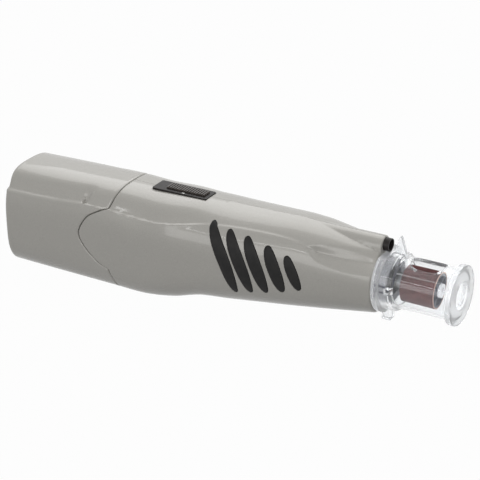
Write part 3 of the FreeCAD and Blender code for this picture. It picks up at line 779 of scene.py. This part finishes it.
def make_guard():
    """Clear guard, turned from one profile, with its port, windows, fin, lug and a pale rib that paints a
    highlight line on the tube.
    """
    corners = [(GUARD_REAR, COLLAR_BORE), (158.0, COLLAR_BORE), (158.4, TUBE_BORE), (DISC_REAR, TUBE_BORE),
               (DISC_REAR, NAIL_HOLE), (FRONT_END, NAIL_HOLE), (FRONT_END, DISC_RADIUS),
               (DISC_REAR, DISC_RADIUS), (DISC_REAR - 0.4, TUBE_RADIUS), (COLLAR_FRONT + 0.6, TUBE_RADIUS),
               (COLLAR_FRONT, COLLAR_RADIUS), (FLANGE_FRONT + 0.2, COLLAR_RADIUS),
               (FLANGE_FRONT, FLANGE_RADIUS), (GUARD_REAR, FLANGE_RADIUS)]
    guard = lathe("clear_guard", rounded_profile(corners, 0.4), CLEAR, sides=160)
    fin = fin_plate()
    lug = slab("cutter", (GUARD_REAR, -2, 9.4), (FLANGE_FRONT + 1.2, 2, 16), CLEAR, bevel=0.4)
    carve(guard, [fin, lug, pale_highlight_rib()], "UNION")
    port = port_cutter()
    flat = slab("cutter", (150, -10, FLANGE_FLAT), (FLANGE_FRONT + 0.5, 10, 42), CLEAR)
    window = slab("cutter", (157.2, -15, 23.9), (159.4, 15, 26.1), CLEAR, bevel=0.2)
    carve(guard, [port, flat, window])
    smooth(guard, 30)
    guard.data.materials.append(MILKY_AND_HIGHLIGHT)
    # Paler plastic on flange, fin, rib and disc: painted highlight on the rib and partly on the flange.
    for polygon in guard.data.polygons:
        if takes_milky_or_highlight(polygon.center):
            polygon.material_index = 1
    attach(guard, "nail_guard")
    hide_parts("nail_guard")


def takes_milky_or_highlight(centre):
    """True on the flange, the fin, the rib and the disc, which take the paler plastic: the fin and disc for
    their own milky look, the rib as a painted highlight line, and the flange partly as a painted highlight.
    """
    x = centre.x / MM + MIDDLE
    height = centre.z / MM - AXIS
    radius = math.hypot(centre.y / MM, height)
    on_highlight_rib = x > COLLAR_FRONT + 0.8 and radius > TUBE_RADIUS + 0.05
    on_fin = height > COLLAR_RADIUS + 0.2
    between = FLANGE_FRONT + 0.4 < x < DISC_REAR - 0.5
    return on_highlight_rib or on_fin or not between


def fin_plate():
    """Thin triangular fin on top of the guard's collar."""
    outline = [(156.2, 34.0), (161.4, 34.0), (159.2, 41.6), (158.7, 42.3), (158.2, 41.6)]
    vertices = [place(x, y, z) for y in (-0.8, 0.8) for x, z in outline]
    count = len(outline)
    faces = grid_faces(2, count, closed=True)
    faces.append(tuple(range(count)))
    faces.append(tuple(range(2 * count - 1, count - 1, -1)))
    return new_object("cutter", vertices, faces, CLEAR)


def pale_highlight_rib():
    """Fine pale rib along the near upper side of the tube: a painted highlight line where the tube catches
    the light.
    """
    low, high = (156.5, -0.22, AXIS + TUBE_RADIUS - 0.3), (177.0, 0.22, AXIS + TUBE_RADIUS + 0.22)
    rib = slab("cutter", low, high, CLEAR)
    middle = Matrix.Translation(place(MIDDLE, 0, AXIS))
    turn = Matrix.Rotation(math.radians(HIGHLIGHT_RIB_ANGLE), 4, "X")
    rib.data.transform(middle @ turn @ middle.inverted())
    return rib


def port_cutter():
    """Oval cutter for the nail port on top of the tube."""
    count = 64
    vertices = []
    for z in (AXIS + 1, AXIS + 20):
        for k in range(count):
            angle = 2 * math.pi * k / count
            stretch = PORT_STRETCH if math.cos(angle) > 0 else -PORT_STRETCH
            x = PORT_CENTRE + stretch + PORT_RADIUS * math.cos(angle)
            vertices.append(place(x, PORT_RADIUS * math.sin(angle), z))
    faces = grid_faces(2, count, closed=True)
    faces.append(tuple(range(count)))
    faces.append(tuple(range(2 * count - 1, count - 1, -1)))
    return new_object("cutter", vertices, faces, CLEAR)


def make_index_mark():
    """Small raised white mark on the switch plate beside the slider."""
    _, _, _, top = BEZEL
    low, high = (71.2, -3.35, top - 0.05), (72.3, -2.75, top + 0.06)
    mark = slab("switch_index_mark", low, high, WHITE_MARK, bevel=0.04)
    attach(mark, "housing")


def make_drum():
    """Sanding band with the step where its cloth is lapped."""
    rear, front, inner, outer = DRUM
    sides, lap_start, lap_end = 180, 20, 34
    vertices = []
    profile = [(rear, inner + 0.02), (rear, outer - 0.1), (rear + BAND_CHAMFER, outer),
               (front - BAND_CHAMFER, outer), (front, outer - 0.1), (front, inner + 0.02)]
    for x, radius in profile:
        for k in range(sides):
            angle = 2 * math.pi * k / sides
            reach = radius - BAND_LAP
            if lap_start <= k < lap_end and radius > inner + 0.1:
                reach += BAND_LAP * (1 - (k - lap_start) / (lap_end - lap_start))
            vertices.append(place(x, -reach * math.sin(angle), AXIS + reach * math.cos(angle)))
    faces = grid_faces(len(profile), sides, closed=True)
    last = (len(profile) - 1) * sides
    for k in range(sides):
        after = (k + 1) % sides
        faces.append((last + k, last + after, after, k))
    band = new_object("sanding_band_cloth", vertices, faces, CLOTH, smooth_angle=50)
    band.data.materials.append(CLOTH_EDGE)
    limit = place(front - BAND_CHAMFER / 2, 0, 0).x
    for polygon in band.data.polygons:
        if polygon.center.x > limit:
            polygon.material_index = 1
    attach(band, "spindle_group")
    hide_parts("sanding_band")


def dress_nodes():
    """Materials and smooth shading for the CAD nodes that stay as they are."""
    finishes = {
        "switch_bezel": BLACK, "switch_slider": SLIDER, "switch_carriage": BLACK, "slide_switch": BLACK,
        "switch_lever": BLACK, "nose_boss": NAVY, "lamp_holder": BLACK, "motor_end_cap": BLACK,
        "motor_can": STEEL, "motor_shaft": STEEL, "spindle": STEEL, "mandrel": STEEL,
        # The drum screw takes the near-white finish whose brightness is a painted highlight.
        "collet_nut": DARK_STEEL, "drum_screw": SCREW_PAINTED_HIGHLIGHT, "housing_screws": STEEL, "contact_springs": STEEL,
        "rear_contacts": STEEL, "front_contacts": STEEL, "motor_terminals": STEEL, "lamp_leads": STEEL,
        "motor_rotor": DARK_STEEL, "shaft_coupling": DARK_STEEL, "front_bush": BRASS, "motor_bush": BRASS,
        "circuit_board": BOARD, "board_parts": BLACK, "battery_tray": TRAY, "battery_leads": WIRE,
        "motor_leads": WIRE, "drum_core": CORE, "lamp": LENS, "motor_magnets": MAGNET,
        "battery_1": JACKET, "battery_2": JACKET, "battery_3": JACKET, "battery_4": JACKET,
    }
    for name, material in finishes.items():
        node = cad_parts[name]
        node.data.materials.clear()
        node.data.materials.append(material)
        smooth(node, 30)


# ---------------------------------------------------------------- stage, light and camera

WHITE = (1, 1, 1, 1)


def seen_directly(owner):
    """Socket that is 1 for rays from the camera, through clear plastic or off gloss, and else 0."""
    path = add_node(owner, "ShaderNodeLightPath")
    clear = add_node(owner, "ShaderNodeMath", operation="MAXIMUM")
    link(owner, path.outputs["Is Camera Ray"], clear.inputs[0])
    link(owner, path.outputs["Is Transmission Ray"], clear.inputs[1])
    either = add_node(owner, "ShaderNodeMath", operation="MAXIMUM")
    link(owner, clear.outputs[0], either.inputs[0])
    link(owner, path.outputs["Is Glossy Ray"], either.inputs[1])
    return either.outputs[0]


def make_stage():
    """Floor that looks white to the camera, clear plastic and gloss, with a faint shadow."""
    material = new_material("stage_white", Roughness=0.9, Base_Color=(0.10, 0.10, 0.10, 1),
                            Specular_IOR_Level=0.1)
    glow = add_node(material, "ShaderNodeEmission", Color=WHITE, Strength=1.0)
    share = add_node(material, "ShaderNodeMath", operation="MULTIPLY")
    share.inputs[1].default_value = 0.98
    link(material, seen_directly(material), share.inputs[0])
    blend = add_node(material, "ShaderNodeMixShader")
    link(material, share.outputs[0], blend.inputs[0])
    link(material, shader_of(material).outputs[0], blend.inputs[1])
    link(material, glow.outputs[0], blend.inputs[2])
    link(material, blend.outputs[0], surface_of(material))
    size = 2.5
    floor = bpy.data.meshes.new("floor")
    corners = [(-size, -size, 0), (size, -size, 0), (size, size, 0), (-size, size, 0)]
    floor.from_pydata(corners, [], [(0, 1, 2, 3)])
    floor.materials.append(material)
    piece = bpy.data.objects.new("floor", floor)
    piece.location.z = -0.0002
    bpy.context.scene.collection.objects.link(piece)


def add_lamp(name, place_at, target, size, power):
    """Soft rectangular lamp aimed at a point."""
    data = bpy.data.lights.new(name, "AREA")
    data.shape = "RECTANGLE"
    data.size, data.size_y = size
    data.energy = power
    lamp = bpy.data.objects.new(name, data)
    lamp.location = place_at
    lamp.rotation_euler = (Vector(target) - Vector(place_at)).to_track_quat("-Z", "Y").to_euler()
    bpy.context.scene.collection.objects.link(lamp)


def make_lights():
    """Overhead softbox, a softbox at the side, and a narrow strip for the glints."""
    target = (0, 0, 0.02)
    add_lamp("overhead", (0.0, 0.5, 0.8), target, (1.6, 0.9), 8.0)
    add_lamp("near_side", (0.1, -0.9, 0.22), target, (1.4, 0.36), 3.3)
    add_lamp("edge_strip", (0.05, -0.75, 0.45), target, (1.2, 0.03), 0.8)


def make_world():
    """White surround that lights the tool gently."""
    world = bpy.data.worlds.new("surround")
    bpy.context.scene.world = world
    world.use_nodes = True
    world.node_tree.nodes.clear()
    lighting = add_node(world, "ShaderNodeBackground", Color=WHITE, Strength=0.38)
    seen = add_node(world, "ShaderNodeBackground", Color=WHITE, Strength=1.0)
    blend = add_node(world, "ShaderNodeMixShader")
    output = add_node(world, "ShaderNodeOutputWorld")
    link(world, seen_directly(world), blend.inputs[0])
    link(world, lighting.outputs[0], blend.inputs[1])
    link(world, seen.outputs[0], blend.inputs[2])
    link(world, blend.outputs[0], output.inputs["Surface"])


def make_camera():
    """Camera on the near side towards the nail end, looking down on the tool."""
    azimuth, elevation, roll = math.radians(30.5), math.radians(25.3), math.radians(-0.65)
    distance = 0.589
    target = Vector((0.00365, 0.0, 0.026))
    back = Vector((math.sin(azimuth) * math.cos(elevation), -math.cos(azimuth) * math.cos(elevation),
                   math.sin(elevation)))
    data = bpy.data.cameras.new("camera")
    data.sensor_width = 36.0
    data.lens = 120.0
    camera = bpy.data.objects.new("camera", data)
    right = Vector((math.cos(azimuth), math.sin(azimuth), 0.0))
    up = back.cross(right)
    turned_right = right * math.cos(roll) + up * math.sin(roll)
    turned_up = up * math.cos(roll) - right * math.sin(roll)
    frame_matrix = Matrix((turned_right, turned_up, back)).transposed().to_4x4()
    frame_matrix.translation = target + back * distance
    camera.matrix_world = frame_matrix
    bpy.context.scene.collection.objects.link(camera)
    bpy.context.scene.camera = camera


bpy.context.scene.view_settings.view_transform = "Standard"
make_camera()
make_lights()
make_world()
make_stage()
make_housing()
make_cap()
make_grips()
make_guard()
make_drum()
make_index_mark()
dress_nodes()
